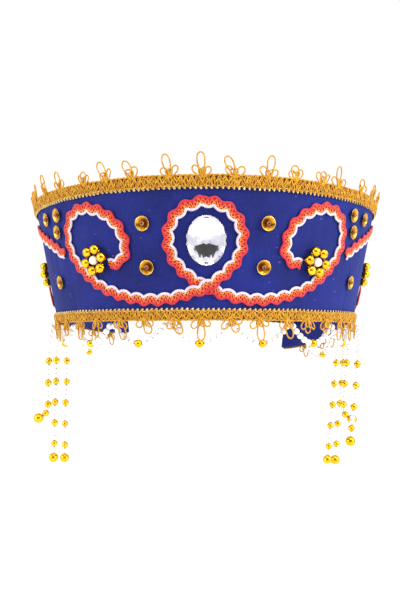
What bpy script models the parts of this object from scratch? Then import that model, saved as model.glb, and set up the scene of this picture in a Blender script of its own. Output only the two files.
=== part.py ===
"""A kokoshnik headdress: a flared band of blue cloth, open at the back, with gold picot braid along both
edges, a scrolled rickrack trim, a cut crystal, bead flowers, sequins, a beaded garland and side strands.

Metres, +Z up. The origin is the middle of the band's lower edge, where it sits on the head, and the
front of the headdress faces -Y. An angle is turned from the front, plus towards +X.
"""

from math import atan, cos, hypot, radians, sin, tau

import bmesh
import bpy
import numpy as np
from mathutils import Matrix, Vector

mm = 0.001

# Driving dimensions
GAP = 0.3 * mm
BAND_RADIUS = 91.0 * mm
BAND_FLARE = 0.186
BAND_HEIGHT = 68.5 * mm
BAND_WALL = 2.2 * mm
BAND_END = 142.0
BAND_STEP = 4.0
DROP_START = 92.0
DROP_LEFT = 5.0 * mm
DROP_RIGHT = 16.0 * mm

BRAID_THICKNESS = 1.4 * mm
TOP_BRAID = (63.5 * mm, 70.7 * mm)
BOTTOM_BRAID = (-0.6 * mm, 5.6 * mm)
PICOT_PITCH = 9.37
PICOT_SHIFT = -1.3

TRIM_THICKNESS = 1.0 * mm
TRIM_HALF_WIDTH = 2.35 * mm
TRIM_WAVE = 0.95 * mm
TRIM_PITCH = 7.6 * mm

CRYSTAL_SIZE = (20.4 * mm, 25.0 * mm)
CRYSTAL_HEIGHT = 39.0 * mm
CRYSTAL_THICKNESS = 5.2 * mm

PETAL_RADIUS = 2.85 * mm
PETAL_RING = 5.45 * mm
PEARL_RADIUS = 2.35 * mm
SEQUIN_RADIUS = 3.75 * mm
SEQUIN_DEPTH = 1.5 * mm

GARLAND_RADIUS = 89.2 * mm
GARLAND_TUBE = 1.5 * mm
GARLAND_GOLD = 2.3 * mm
STRAND_TUBE = 1.3 * mm
STRAND_GOLD = 2.1 * mm
STRAND_END = 3.0 * mm

ELASTIC_THICKNESS = 1.4 * mm
ELASTIC_HEIGHT = (18.0 * mm, 30.0 * mm)
ELASTIC_LAP = 11.0

# Half of the front scroll, from the tail of a curl to the top of the middle loop.
# It is mirrored for the other half, where the angle changes sign.
FRONT_SCROLL = [
    # angle, height in mm
    (30.5, 28.2),
    (26.2, 30.4),
    (24.4, 37.0),
    (26.4, 47.4),
    (32.0, 55.4),
    (39.4, 58.2),
    (45.4, 53.8),
    (47.6, 43.6),
    (45.6, 32.8),
    (39.6, 22.6),
    (31.6, 15.0),
    (21.6, 10.5),
    (12.6, 10.2),
    (5.4, 12.8),
    (0.0, 16.2),
    (-6.4, 23.6),
    (-10.3, 33.2),
    (-10.5, 44.6),
    (-6.6, 54.2),
    (0.0, 58.2),
]

# The side scroll, from the front curl's outer edge to its tail beside the side flower.
SIDE_SCROLL = [
    # angle, height in mm
    (51.2, 36.0),
    (58.0, 42.0),
    (67.8, 48.8),
    (78.0, 54.8),
    (89.0, 57.6),
    (99.0, 54.2),
    (104.5, 45.0),
    (105.0, 33.0),
    (100.0, 20.5),
    (91.0, 12.6),
    (83.4, 14.4),
    (80.6, 21.4),
]

FLOWERS = {
    # name: angle, height in mm, turn of the six petals
    "front_left": (-35.5, 31.4, 12.0),
    "front_right": (35.8, 30.4, -8.0),
    "side_left": (-90.0, 31.0, 0.0),
    "side_right": (90.0, 31.0, 0.0),
}

# Sequins on one side, mirrored on the other.
SEQUINS = [
    # angle, height in mm
    (18.2, 47.9),
    (17.7, 26.2),
    (51.9, 57.4),
    (60.2, 57.0),
    (53.2, 48.6),
    (57.4, 21.8),
    (114.0, 47.0),
    (116.0, 22.0),
]

# The rise of one picot fan above the braid's edge, across the fan.
PICOT_FAN = [
    # across in mm, rise in mm
    (-4.0, 0.0),
    (-2.4, 4.4),
    (0.0, 9.0),
    (2.4, 4.4),
    (4.0, 0.0),
]

# Swags of the garland between two points of the lower edge.
GARLANDS = {
    # name: angle of the first point, angle between points, swags, sag in mm
    "garland_front": (-76.0, 21.2, 7, 11.4),
    "garland_back_left": (-128.0, 21.2, 1, 15.0),
    "garland_back_right": (106.8, 21.2, 1, 12.0),
}

STRANDS = {
    # name: angle, radius at the top and below in mm, lean towards +X per mm down,
    # first gold bead, gold beads, their spacing and the end bead's depth in mm, swing of the end in mm
    "strand_left_1": (-78.0, 94.4, 96.6, 0.0, 23.2, 3, 13.0, 57.5, -5.8),
    "strand_left_2": (-88.4, 89.3, 92.6, -0.03, 23.2, 5, 13.0, 84.0, 0.0),
    "strand_left_3": (-98.6, 89.3, 90.4, -0.02, 23.6, 5, 13.6, 86.5, 0.0),
    "strand_right_1": (78.0, 94.4, 96.0, -0.09, 25.0, 4, 12.9, 71.5, 0.0),
    "strand_right_2": (84.4, 89.3, 89.6, -0.08, 24.6, 3, 12.9, 59.5, 5.8),
    "strand_right_3": (90.8, 89.3, 89.4, -0.09, 24.8, 5, 12.8, 86.0, 0.0),
    "strand_right_4": (101.0, 89.3, 89.2, -0.09, 24.0, 5, 13.6, 87.0, 0.0),
}

MATERIALS = {
    # name: colour, roughness, metallic
    "blue_cloth": ((0.012, 0.022, 0.16), 0.85, 0.0),
    "gold_gimp": ((0.72, 0.45, 0.07), 0.45, 0.6),
    "rickrack": ((0.75, 0.10, 0.05), 0.7, 0.0),
    "crystal": ((0.85, 0.86, 0.92), 0.05, 0.0),
    "gold_bead": ((0.83, 0.55, 0.06), 0.2, 0.9),
    "pearl": ((0.88, 0.84, 0.80), 0.25, 0.0),
    "sequin": ((0.62, 0.36, 0.05), 0.25, 0.8),
    "elastic": ((0.02, 0.03, 0.12), 0.8, 0.0),
}


def clear_scene():
    for obj in list(bpy.data.objects):
        bpy.data.objects.remove(obj, do_unlink=True)


def make_materials():
    made = {}
    for name, (colour, roughness, metallic) in MATERIALS.items():
        material = bpy.data.materials.new(name)
        material.use_nodes = True
        shader = material.node_tree.nodes["Principled BSDF"]
        shader.inputs["Base Color"].default_value = (*colour, 1.0)
        shader.inputs["Roughness"].default_value = roughness
        shader.inputs["Metallic"].default_value = metallic
        made[name] = material
    return made


def rim_drop(angle):
    """How far the soft ends of the band hang below its front, at an angle in degrees."""
    low = DROP_RIGHT if angle > 0 else DROP_LEFT
    share = min(max((abs(angle) - DROP_START) / (BAND_END - DROP_START), 0.0), 1.0)
    return low * share * share * (3.0 - 2.0 * share)


def band_point(angle, height, offset=0.0):
    """A point at an angle in degrees and a height, an offset out of the band's outer face.

    Below the lower edge the picots hang straight down.
    """
    turn = radians(angle)
    lean = hypot(1.0, BAND_FLARE)
    radius = BAND_RADIUS + BAND_FLARE * max(height, 0.0) + offset / lean
    drop = rim_drop(angle) + offset * BAND_FLARE / lean
    return Vector((radius * sin(turn), -radius * cos(turn), height - drop))


def band_frame(angle, height, offset):
    """A matrix that lays X along the band, Y up it and Z straight out of its outer face."""
    turn = radians(angle)
    tilt = atan(BAND_FLARE)
    outward = Vector((sin(turn) * cos(tilt), -cos(turn) * cos(tilt), -sin(tilt)))
    along = Vector((cos(turn), sin(turn), 0.0))
    upward = outward.cross(along)
    rotation = Matrix((along, upward, outward)).transposed().to_4x4()
    return Matrix.Translation(band_point(angle, height, offset)) @ rotation


def smooth_path(table, steps=12):
    """A Catmull-Rom curve through the rows of a table."""
    rows = np.array(table, float)
    rows = np.vstack([2 * rows[0] - rows[1], rows, 2 * rows[-1] - rows[-2]])
    share = np.linspace(0.0, 1.0, steps, endpoint=False)[:, None]
    pieces = []
    for before, start, end, after in zip(rows, rows[1:], rows[2:], rows[3:]):
        slope_in = (end - before) / 2
        slope_out = (after - start) / 2
        pieces.append(
            start
            + share * slope_in
            + share**2 * (3 * (end - start) - 2 * slope_in - slope_out)
            + share**3 * (2 * (start - end) + slope_in + slope_out)
        )
    return np.vstack([*pieces, rows[-2]])


def link(obj, collection, material):
    collection.objects.link(obj)
    obj.data.materials.append(material)
    return obj


def strip_object(name, columns, position, thickness, collection, material, rows=1):
    """An open grid placed by position(column, row), thickened outwards."""
    mesh = bpy.data.meshes.new(name)
    shape = bmesh.new()
    bmesh.ops.create_grid(shape, x_segments=columns - 1, y_segments=rows, size=1.0)
    for vertex in shape.verts:
        column = round((vertex.co.x + 1.0) / 2.0 * (columns - 1))
        row = round((vertex.co.y + 1.0) / 2.0 * rows)
        vertex.co = position(column, row)
    shape.to_mesh(mesh)
    shape.free()
    obj = link(bpy.data.objects.new(name, mesh), collection, material)
    wall = obj.modifiers.new("wall", "SOLIDIFY")
    wall.thickness = thickness
    wall.offset = 1.0
    return obj


def build_band(collection, material):
    angles = np.linspace(-BAND_END, BAND_END, round(2 * BAND_END / BAND_STEP) + 1)

    def position(column, row):
        return band_point(angles[column], BAND_HEIGHT * row, -BAND_WALL)

    strip_object("band", len(angles), position, BAND_WALL, collection, material)


def braid_edge(radius):
    """Angles round a braid, and the picot fans' rise at each one."""
    per_degree = tau * radius / 360.0
    fans = int(BAND_END // PICOT_PITCH)
    edge = [(-BAND_END, 0.0)]
    for fan in range(-fans, fans + 1):
        middle = fan * PICOT_PITCH + PICOT_SHIFT
        height = 1.0 + 0.08 * sin(2.4 * fan)
        for across, rise in PICOT_FAN:
            edge.append((middle + across * mm / per_degree, rise * mm * height))
    edge.append((BAND_END, 0.0))
    return [row for row in edge if abs(row[0]) <= BAND_END]


def build_braid(name, heights, side, collection, material):
    """A flat braid with its picot fans on the upper edge (side 1) or on the lower one (side -1)."""
    low, high = heights
    edge = braid_edge(BAND_RADIUS + BAND_FLARE * low)

    def position(column, row):
        angle, rise = edge[column]
        if row == 1:
            return band_point(angle, high + (rise if side > 0 else 0.0), GAP)
        return band_point(angle, low - (rise if side < 0 else 0.0), GAP)

    strip_object(name, len(edge), position, BRAID_THICKNESS, collection, material)


def trim_strip(name, path, crossing, collection, material):
    """A zigzag tape along a path of angles and heights. It is lifted where it crosses over itself."""
    points = np.array([band_point(angle, height * mm) for angle, height in path])
    lengths = np.concatenate([[0.0], np.cumsum(np.linalg.norm(np.diff(points, axis=0), axis=1))])
    columns = 2 * round(lengths[-1] / TRIM_PITCH) + 1
    places = np.linspace(0.0, lengths[-1], columns)
    angles = np.interp(places, lengths, path[:, 0])
    heights = np.interp(places, lengths, path[:, 1]) * mm
    centres = [band_point(angle, height) for angle, height in zip(angles, heights)]
    over = None if crossing is None else crossing * lengths[-1]

    def position(column, row):
        before = centres[max(column - 1, 0)]
        after = centres[min(column + 1, columns - 1)]
        outward = band_frame(angles[column], heights[column], 0.0).col[2].xyz
        across = outward.cross(after - before).normalized()
        wave = TRIM_WAVE * (1 if column % 2 else -1)
        side = wave + TRIM_HALF_WIDTH * (1 if row else -1)
        lift = GAP
        if over is not None:
            near = min(abs(places[column] - over) / (12.0 * mm), 1.0)
            lift += (TRIM_THICKNESS + GAP) * min(1.8 * (1.0 - near), 1.0)
        return centres[column] + across * side + outward * lift

    strip_object(name, columns, position, TRIM_THICKNESS, collection, material)


def build_trims(collection, material):
    half = smooth_path(FRONT_SCROLL)
    left = half * (-1.0, 1.0)
    front = np.vstack([left, half[::-1][1:]])
    steps = [band_point(angle, height * mm) for angle, height in front]
    run = np.cumsum([0.0] + [(b - a).length for a, b in zip(steps, steps[1:])])
    crossing_row = next(i for i in range(60, len(left)) if left[i, 0] > 0.0)
    trim_strip("front_scroll", front, run[crossing_row] / run[-1], collection, material)
    side = smooth_path(SIDE_SCROLL)
    trim_strip("side_scroll_right", side, None, collection, material)
    trim_strip("side_scroll_left", (side * (-1.0, 1.0))[::-1], None, collection, material)


def bead_mesh(name, radius, sides=12, bands=4):
    mesh = bpy.data.meshes.new(name)
    shape = bmesh.new()
    bmesh.ops.create_uvsphere(shape, u_segments=sides, v_segments=bands, radius=radius)
    shape.to_mesh(mesh)
    shape.free()
    mesh.shade_smooth()
    return mesh


def build_flower(name, angle, height, turn, collection, gold, pearl):
    """Six gold beads that touch, round a loose pearl."""
    frame = band_frame(angle, height * mm, GAP + PETAL_RADIUS)
    petals = []
    for petal in range(6):
        place = radians(60.0 * petal + turn)
        centre = Vector((PETAL_RING * cos(place), PETAL_RING * sin(place), 0.0))
        bead = bpy.data.objects.new(f"petal_{petal}", bead_mesh("petal", PETAL_RADIUS))
        bead.matrix_world = frame @ Matrix.Translation(centre) @ Matrix.Rotation(place, 4, "Z")
        petals.append(bead)
    flower = petals[0]
    flower.name = f"flower_{name}"
    link(flower, collection, gold)
    for bead in petals[1:]:
        bead.hide_render = True
        bead.display_type = "WIRE"
        cutters.objects.link(bead)
        union = flower.modifiers.new("union", "BOOLEAN")
        union.operation = "UNION"
        union.object = bead
    centre_bead = bpy.data.objects.new(f"flower_pearl_{name}", bead_mesh("pearl", PEARL_RADIUS))
    centre_bead.matrix_world = band_frame(angle, height * mm, GAP + PEARL_RADIUS)
    link(centre_bead, collection, pearl)


def build_sequin(name, angle, height, collection, material):
    """A shallow cup with a bead in its middle, turned about its own axis."""
    rim, depth = SEQUIN_RADIUS, SEQUIN_DEPTH
    profile = [(0.0, 0.95 * depth), (0.30 * rim, 0.55 * depth), (rim, depth), (0.5 * rim, 0.0), (0.0, 0.0)]
    mesh = bpy.data.meshes.new(name)
    edges = [(i, i + 1) for i in range(len(profile) - 1)]
    mesh.from_pydata([(r, 0.0, z) for r, z in profile], edges, [])
    obj = link(bpy.data.objects.new(name, mesh), collection, material)
    screw = obj.modifiers.new("turn", "SCREW")
    screw.axis = "Z"
    screw.steps = 10
    screw.render_steps = 10
    screw.use_merge_vertices = True
    screw.merge_threshold = 0.00001
    obj.matrix_world = band_frame(angle, height * mm, GAP)


def build_crystal(collection, material):
    """A flat-backed oval stone: a girdle, two rows of crown facets and a table."""
    wide, tall = CRYSTAL_SIZE
    rings = [
        # share of the size, height above the back, corners, turn of the corners
        (0.94, 0.0, 16, 0.0),
        (1.0, 0.22 * CRYSTAL_THICKNESS, 16, 0.0),
        (0.80, 0.68 * CRYSTAL_THICKNESS, 8, 0.5),
        (0.56, CRYSTAL_THICKNESS, 8, 0.0),
    ]
    shape = bmesh.new()
    for share, height, corners, turn in rings:
        for corner in range(corners):
            place = tau * (corner + turn) / corners
            shape.verts.new((share * wide / 2 * cos(place), share * tall / 2 * sin(place), height))
    bmesh.ops.convex_hull(shape, input=shape.verts)
    bmesh.ops.dissolve_limit(shape, angle_limit=radians(0.5), verts=shape.verts, edges=shape.edges)
    mesh = bpy.data.meshes.new("crystal")
    shape.to_mesh(mesh)
    shape.free()
    obj = link(bpy.data.objects.new("crystal", mesh), collection, material)
    obj.matrix_world = band_frame(0.3, CRYSTAL_HEIGHT, GAP)


def string_object(name, stations, collection, material):
    """A string of beads as one turned body: a ring of the given radius at each point of the string."""
    curve = bpy.data.curves.new(name, "CURVE")
    curve.dimensions = "3D"
    curve.bevel_depth = mm
    curve.bevel_resolution = 3
    curve.use_fill_caps = True
    spline = curve.splines.new("POLY")
    spline.points.add(len(stations) - 1)
    for point, (place, radius) in zip(spline.points, stations):
        point.co = (*place, 1.0)
        point.radius = radius / mm
    return link(bpy.data.objects.new(name, curve), collection, material)


def bead_rings(centre, direction, radius, neck):
    """Rings of one bead on a string, from neck to neck."""
    rows = [(-0.9, neck), (-0.5, 0.9 * radius), (0.5, 0.9 * radius), (0.9, neck)]
    return [(centre + direction * share * radius, ring) for share, ring in rows]


def build_garland(name, first, span, swags, sag, collection, material):
    """Swags of beads under the lower edge, each with a gold bead at its lowest point."""

    def place(angle):
        share = (angle - first) / span % 1.0
        depth = GAP + 0.5 * GARLAND_TUBE + (sag * mm) * 4.0 * share * (1.0 - share)
        turn = radians(angle)
        return Vector((GARLAND_RADIUS * sin(turn), -GARLAND_RADIUS * cos(turn), -depth - rim_drop(angle)))

    stations = []
    for swag in range(swags):
        start = first + swag * span
        stations.append((place(start + 0.001), 0.5 * GARLAND_TUBE))
        for share in (0.08, 0.26):
            stations.append((place(start + share * span), GARLAND_TUBE))
        low = place(start + 0.5 * span)
        along = (place(start + 0.52 * span) - place(start + 0.48 * span)).normalized()
        stations += bead_rings(low, along, GARLAND_GOLD, 0.9 * GARLAND_TUBE)
        for share in (0.74, 0.92):
            stations.append((place(start + share * span), GARLAND_TUBE))
    stations.append((place(first + swags * span - 0.001), 0.5 * GARLAND_TUBE))
    string_object(name, stations, collection, material)


def build_strand(name, row, collection, material):
    """A strand that hangs from the lower edge: gold beads at a spacing, a large one at its end."""
    angle, top_radius, low_radius, lean, first, golds, spacing, end, swing = row
    turn = radians(angle)
    outward = Vector((sin(turn), -cos(turn), 0.0))
    splay = 14.0

    def place(depth):
        share = min(depth / splay, 1.0)
        radius = top_radius + (low_radius - top_radius) * share
        return outward * radius * mm + Vector((lean * depth * mm, 0.0, -depth * mm - rim_drop(angle)))

    stations = [(place(0.5), 0.8 * STRAND_TUBE), (place(splay), STRAND_TUBE)]
    for gold in range(golds):
        depth = first + gold * spacing
        down = (place(depth + 1.0) - place(depth)).normalized()
        stations += bead_rings(place(depth), down, STRAND_GOLD, STRAND_TUBE)
    last = place(end) + Vector((swing * mm, 0.0, 0.0))
    previous = stations[-1][0]
    if swing:
        bend = place(end - 5.0)
        stations.append((bend, STRAND_TUBE))
        previous = bend
    down = (last - previous).normalized()
    rings = bead_rings(last, down, STRAND_END, 0.5 * STRAND_END)
    string_object(name, stations + rings, collection, material)


def build_elastic(collection, material):
    """A plain elastic inside the band's ends, which closes the ring behind the head."""
    start = BAND_END - ELASTIC_LAP
    angles = np.linspace(start, 360.0 - start, 21)
    low, high = ELASTIC_HEIGHT

    def position(column, row):
        angle = angles[column]
        share = min(max((angle - BAND_END) / (360.0 - 2 * BAND_END), 0.0), 1.0)
        if angle <= BAND_END:
            drop = rim_drop(angle)
        elif angle >= 360.0 - BAND_END:
            drop = rim_drop(angle - 360.0)
        else:
            drop = DROP_RIGHT + (DROP_LEFT - DROP_RIGHT) * share
        height = high if row else low
        radius = BAND_RADIUS + BAND_FLARE * height - BAND_WALL - GAP - ELASTIC_THICKNESS - 0.2 * mm
        turn = radians(angle)
        return Vector((radius * sin(turn), -radius * cos(turn), height - drop))

    strip_object("back_elastic", len(angles), position, ELASTIC_THICKNESS, collection, material)


clear_scene()
parts = bpy.data.collections.new("kokoshnik_headdress")
cutters = bpy.data.collections.new("cutters")
bpy.context.scene.collection.children.link(parts)
bpy.context.scene.collection.children.link(cutters)
finish = make_materials()

build_band(parts, finish["blue_cloth"])
build_braid("top_braid", TOP_BRAID, 1, parts, finish["gold_gimp"])
build_braid("bottom_braid", BOTTOM_BRAID, -1, parts, finish["gold_gimp"])
build_trims(parts, finish["rickrack"])
build_crystal(parts, finish["crystal"])
for flower_name, flower_row in FLOWERS.items():
    build_flower(flower_name, *flower_row, parts, finish["gold_bead"], finish["pearl"])
for number, (sequin_angle, sequin_height) in enumerate(SEQUINS, 1):
    build_sequin(f"sequin_left_{number}", -sequin_angle, sequin_height, parts, finish["sequin"])
    build_sequin(f"sequin_right_{number}", sequin_angle, sequin_height, parts, finish["sequin"])
for garland_name, garland_row in GARLANDS.items():
    build_garland(garland_name, *garland_row, parts, finish["pearl"])
for strand_name, strand_row in STRANDS.items():
    build_strand(strand_name, strand_row, parts, finish["gold_bead"])
build_elastic(parts, finish["elastic"])
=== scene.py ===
import bmesh
import bpy
import numpy as np
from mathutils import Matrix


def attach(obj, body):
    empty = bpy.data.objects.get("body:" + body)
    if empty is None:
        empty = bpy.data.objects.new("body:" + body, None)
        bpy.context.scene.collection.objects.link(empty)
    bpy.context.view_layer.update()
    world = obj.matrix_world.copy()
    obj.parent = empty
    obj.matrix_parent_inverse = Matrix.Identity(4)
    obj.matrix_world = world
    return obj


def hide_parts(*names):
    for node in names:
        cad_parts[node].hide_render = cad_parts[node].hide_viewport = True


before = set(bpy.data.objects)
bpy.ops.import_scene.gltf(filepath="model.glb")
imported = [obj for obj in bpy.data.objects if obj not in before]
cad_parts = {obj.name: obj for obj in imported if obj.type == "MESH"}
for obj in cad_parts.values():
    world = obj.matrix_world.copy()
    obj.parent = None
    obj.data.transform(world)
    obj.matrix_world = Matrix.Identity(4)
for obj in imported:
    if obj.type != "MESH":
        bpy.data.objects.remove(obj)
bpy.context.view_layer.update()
mm = 0.001
turnRound = 2 * np.pi
print("frame loaded:", len(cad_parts), "nodes")

# camera: stands where the photograph was taken from, level, and straight at the band's axis
photoView = {
    "distance": 467.0,  # mm from the axis
    "height": -11.4,  # mm above the band's lower edge
    "focalPixels": 741.6,
    "axisColumn": 205.3,  # where the axis and the horizon lie in the picture
    "horizonRow": 341.5,
    "width": 400,
    "tall": 600,
    "sensor": 36.0,
}
cameraData = bpy.data.cameras.new("photoCamera")
cameraData.sensor_width = photoView["sensor"]
cameraData.lens = photoView["sensor"] * photoView["focalPixels"] / photoView["tall"]
cameraData.shift_x = (photoView["width"] / 2 - photoView["axisColumn"]) / photoView["tall"]
cameraData.shift_y = (photoView["horizonRow"] - photoView["tall"] / 2) / photoView["tall"]
cameraData.clip_start = 0.01
camera = bpy.data.objects.new("photoCamera", cameraData)
camera.location = (0.0, -photoView["distance"] * mm, photoView["height"] * mm)
camera.rotation_euler = (np.pi / 2, 0.0, 0.0)
bpy.context.scene.collection.objects.link(camera)
bpy.context.scene.camera = camera


# shapes


def unit(vectors):
    # each vector over its own length
    return vectors / np.maximum(np.linalg.norm(vectors, axis=-1, keepdims=True), 1e-9)


def wander(place, seed, reach=1.0):
    # a smooth irregular line: a sum of four sines of unrelated lengths, with phases from the seed
    phases = np.random.default_rng(seed).uniform(0, turnRound, 4)
    rates = np.array([0.11, 0.29, 0.53, 1.07])
    return reach * np.sin(np.multiply.outer(place, rates) + phases).sum(-1) / 2


def distances(points):
    # running length of a line of points
    steps = np.linalg.norm(np.diff(points, axis=-2), axis=-1)
    return np.concatenate([np.zeros_like(steps[..., :1]), np.cumsum(steps, axis=-1)], axis=-1)


def shell(points, tone=0.5, closeRows=False, closeColumns=True):
    # points: copies x rows x columns x 3 in mm, a grid whose open ends get a face each
    # its UV is in mm: the running length of the rows' middles, and the length round a row
    copies, rows, columns, _ = points.shape
    i, j = np.meshgrid(
        np.arange(rows if closeRows else rows - 1),
        np.arange(columns if closeColumns else columns - 1),
        indexing="ij",
    )
    cornerRow = np.stack([i, i + 1, i + 1, i], -1).reshape(-1, 4)
    cornerColumn = np.stack([j, j, j + 1, j + 1], -1).reshape(-1, 4)
    first = (np.arange(copies) * rows * columns)[:, None, None]
    quads = first + ((cornerRow % rows) * columns + cornerColumn % columns)[None]
    middles = points.mean(2)
    along = distances(np.concatenate([middles, middles[:, :1]], 1))
    ring = points[:, rows // 2]
    around = distances(np.concatenate([ring, ring[:, :1]], 1)).mean(0)
    uv = np.stack([along[:, cornerRow], np.broadcast_to(around[cornerColumn], (copies, *cornerColumn.shape))], -1)
    flat = (points - points.mean((1, 2), keepdims=True)).reshape(copies, -1, 3)
    corners = flat[:, (quads[0] - first[0])]
    volume = np.linalg.det(corners[:, :, :3]).sum(1) + np.linalg.det(corners[:, :, [0, 2, 3]]).sum(1)
    inward = volume < 0
    quads[inward] = quads[inward][:, :, ::-1]
    uv[inward] = uv[inward][:, :, ::-1]
    loops, sizes, loopUv = [quads.reshape(-1)], [np.full(quads.shape[0] * quads.shape[1], 4)], [uv.reshape(-1, 2)]
    if closeColumns and not closeRows:
        ends = np.stack([np.arange(columns), np.arange(columns)[::-1] + (rows - 1) * columns])
        caps = first + ends[None]
        caps[inward] = caps[inward][:, :, ::-1]
        loops.append(caps.reshape(-1))
        sizes.append(np.full(2 * copies, columns))
        loopUv.append(np.zeros((caps.size, 2)))
    tones = np.broadcast_to(tone, points.shape[:3]).reshape(-1)
    return points.reshape(-1, 3), np.concatenate(loops), np.concatenate(sizes), np.concatenate(loopUv), tones


def cord(path, outward, width, height, sides=6, tone=0.5):
    # an oval carried along each path: its width lies along outward x tangent, its height along outward
    tangent = unit(np.gradient(path, axis=-2))
    across = unit(np.cross(outward, tangent))
    upward = np.cross(tangent, across)
    place = np.arange(sides) / sides * turnRound
    wide = np.broadcast_to(width, path.shape[:2])[..., None, None] / 2
    tall = np.broadcast_to(height, path.shape[:2])[..., None, None] / 2
    ring = across[:, :, None] * np.cos(place)[:, None] * wide + upward[:, :, None] * np.sin(place)[:, None] * tall
    return shell(path[:, :, None] + ring, tone)


def beads(centres, axes, radius, hole=0.4, sides=12, rows=7, squash=1.0, tone=0.5):
    # a ball on each centre: circles of radius cos(latitude) at height sin(latitude), open at the hole
    axes = unit(np.asarray(axes, float))
    helper = np.where(np.abs(axes[:, 2:]) > 0.7, [[1.0, 0.0, 0.0]], [[0.0, 0.0, 1.0]])
    sideways = unit(np.cross(axes, helper))
    other = np.cross(axes, sideways)
    radius = np.broadcast_to(radius, len(centres)).astype(float)
    reach = np.arccos(hole / radius)
    latitude = np.linspace(-1, 1, rows)[None] * reach[:, None]
    place = np.arange(sides) / sides * turnRound
    flat = (radius[:, None] * np.cos(latitude))[:, :, None, None]
    rise = (radius[:, None] * np.sin(latitude) * squash)[:, :, None, None]
    circle = sideways[:, None, None] * np.cos(place)[:, None] + other[:, None, None] * np.sin(place)[:, None]
    points = np.asarray(centres)[:, None, None] + flat * circle + rise * axes[:, None, None]
    return shell(points, tone, closeRows=True)


def turned(profile, seats, sides=24, tone=0.5, lobes=0, lobeDepth=0.0):
    # a closed profile of radius and height, turned about each seat's own axis
    place = np.arange(sides) / sides * turnRound
    wave = 1 + lobeDepth * np.cos(lobes * place)
    origin, alongs, upwards, outwards = seats
    reach, rise = np.array(profile).T
    circle = alongs[:, None, None] * np.cos(place)[:, None] + upwards[:, None, None] * np.sin(place)[:, None]
    points = origin[:, None, None] + circle * (reach[:, None] * wave)[None, :, :, None]
    points = points + outwards[:, None, None] * rise[None, :, None, None]
    return shell(points, np.broadcast_to(np.asarray(tone), (len(profile),))[None, :, None], closeRows=True)


def makePiece(name, shells, finishes, nodeNames=(), smooth=True):
    # joins shells into one object at the origin, in metres, that rides on the headdress
    start, loops = 0, []
    for points, shellLoops, *_ in shells:
        loops.append(shellLoops + start)
        start += len(points)
    loops = np.concatenate(loops)
    sizes = np.concatenate([part[2] for part in shells])
    mesh = bpy.data.meshes.new(name)
    mesh.vertices.add(start)
    mesh.vertices.foreach_set("co", (np.concatenate([part[0] for part in shells]) * mm).astype(np.float32).ravel())
    mesh.loops.add(len(loops))
    mesh.loops.foreach_set("vertex_index", loops.astype(np.int32))
    mesh.polygons.add(len(sizes))
    mesh.polygons.foreach_set("loop_start", np.concatenate([[0], np.cumsum(sizes)[:-1]]).astype(np.int32))
    mesh.update(calc_edges=True)
    layer = mesh.uv_layers.new(name="threadRun")
    layer.data.foreach_set("uv", np.concatenate([part[3] for part in shells]).astype(np.float32).ravel())
    toneLayer = mesh.attributes.new("tone", "FLOAT", "POINT")
    toneLayer.data.foreach_set("value", np.concatenate([part[4] for part in shells]).astype(np.float32))
    mesh.polygons.foreach_set("use_smooth", np.full(len(sizes), smooth))
    obj = bpy.data.objects.new(name, mesh)
    bpy.context.scene.collection.objects.link(obj)
    obj.data.materials.append(finishes)
    return settle(obj, nodeNames)


def settle(obj, nodeNames):
    # a finished piece: it rides on the only body and stands for its CAD nodes
    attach(obj, "root")
    if nodeNames:
        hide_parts(*nodeNames)
    triangles = sum(len(face.vertices) - 2 for face in obj.data.polygons)
    print(f"{obj.name}: {triangles} triangles")
    return obj


# the band that everything is sewn on, as in the CAD source, in mm and degrees from the front
band = {
    "radius": 91.0,
    "flare": 0.186,
    "height": 68.5,
    "wall": 2.2,
    "end": 142.0,
    "dropStart": 92.0,
    "dropLeft": 5.0,
    "dropRight": 16.0,
    "gap": 0.3,
}
lean = np.hypot(1, band["flare"])


def rimDrop(angle):
    # how far the soft ends hang: low times the smooth step from dropStart to the end
    share = np.clip((np.abs(angle) - band["dropStart"]) / (band["end"] - band["dropStart"]), 0, 1)
    return np.where(angle > 0, band["dropRight"], band["dropLeft"]) * share**2 * (3 - 2 * share)


def bandPoint(angle, height, out=0.0):
    # a cone: radius grows by flare times height, and out is measured square to the cloth
    angle, height, out = np.broadcast_arrays(np.asarray(angle, float), height, out)
    radius = band["radius"] + band["flare"] * np.maximum(height, 0) + out / lean
    turn = np.radians(angle)
    rise = height - rimDrop(angle) - out * band["flare"] / lean
    return np.stack([radius * np.sin(turn), -radius * np.cos(turn), rise], -1)


def bandOut(angle):
    # the direction straight out of the cloth
    turn = np.radians(np.asarray(angle, float))
    return np.stack([np.sin(turn), -np.cos(turn), np.full_like(turn, -band["flare"])], -1) / lean


def bandSeats(angles, heights, out):
    # places on the cloth, with the directions along the band, up it and out of it
    angles = np.asarray(angles, float)
    outwards = bandOut(angles)
    turn = np.radians(angles)
    alongs = np.stack([np.cos(turn), np.sin(turn), np.zeros_like(turn)], -1)
    return bandPoint(angles, np.asarray(heights, float), out), alongs, np.cross(outwards, alongs), outwards


def smoothPath(table, steps=16):
    # a Catmull-Rom curve through the rows of a table
    rows = np.array(table, float)
    rows = np.vstack([2 * rows[0] - rows[1], rows, 2 * rows[-1] - rows[-2]])
    before, start, end, after = (rows[k : len(rows) - 3 + k, None] for k in range(4))
    share = np.linspace(0, 1, steps, endpoint=False)[None, :, None]
    slopeIn, slopeOut = (end - before) / 2, (after - start) / 2
    curve = start + share * slopeIn + share**2 * (3 * (end - start) - 2 * slopeIn - slopeOut)
    curve = curve + share**3 * (2 * (start - end) + slopeIn + slopeOut)
    return np.vstack([curve.reshape(-1, rows.shape[1]), rows[-2]])


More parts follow.
